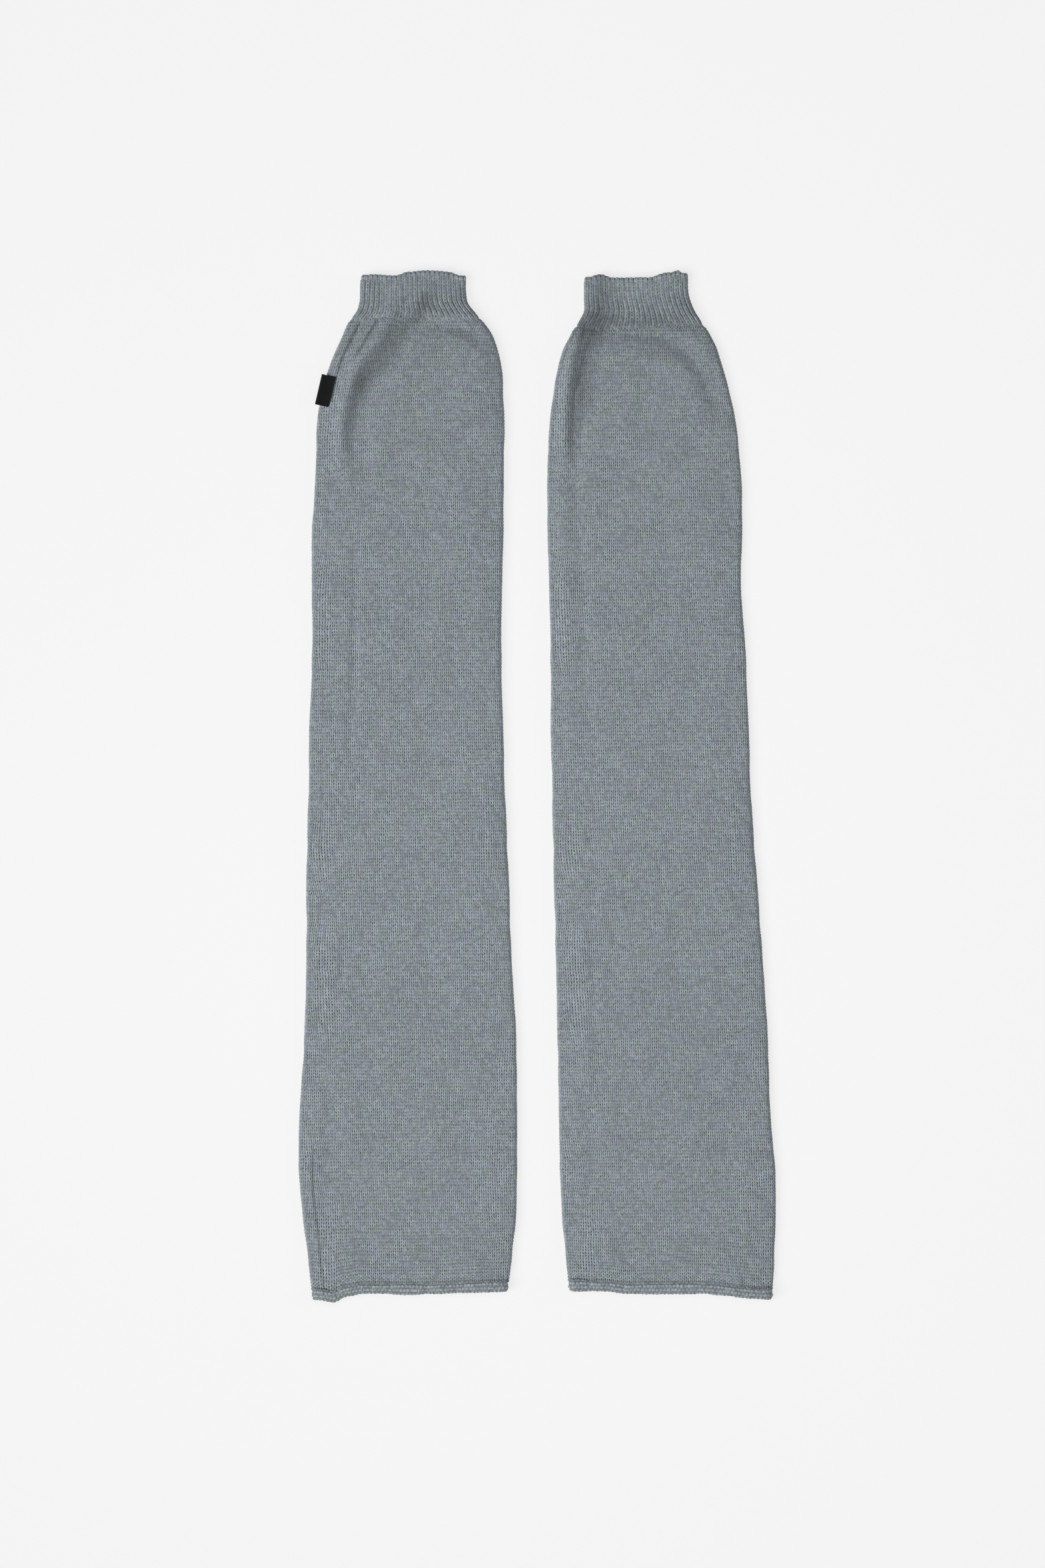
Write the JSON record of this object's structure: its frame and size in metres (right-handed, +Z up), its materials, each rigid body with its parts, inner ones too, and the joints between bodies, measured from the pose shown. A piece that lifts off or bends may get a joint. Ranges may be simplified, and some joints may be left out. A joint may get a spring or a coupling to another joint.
{
  "type": "pair of leg warmers",
  "caption": "Pair of long knitted leg warmers laid flat, with ribbed ankle cuffs, rolled hems and a small plain side tab.",
  "frame": {"origin": "centre of the pair's box, on the surface it lies on", "axes": "+X across the pair from the left leg warmer to the right one, +Y along them towards the cuffs, +Z up from the surface"},
  "size_m": [0.2772, 0.6, 0.0105],
  "materials": {
    "plain_knit": "heathered blue-grey plain knit, matt and slightly fuzzy",
    "rib_knit": "heathered blue-grey 1x1 rib, matt and slightly fuzzy",
    "woven_tape": "black woven tape with a faint satin sheen"
  },
  "bodies": {
    "root": {"left_leg": "plain_knit", "left_cuff": "rib_knit", "left_hem": "plain_knit", "left_label": "woven_tape", "right_leg": "plain_knit", "right_cuff": "rib_knit", "right_hem": "plain_knit"}
  },
  "joints": []
}
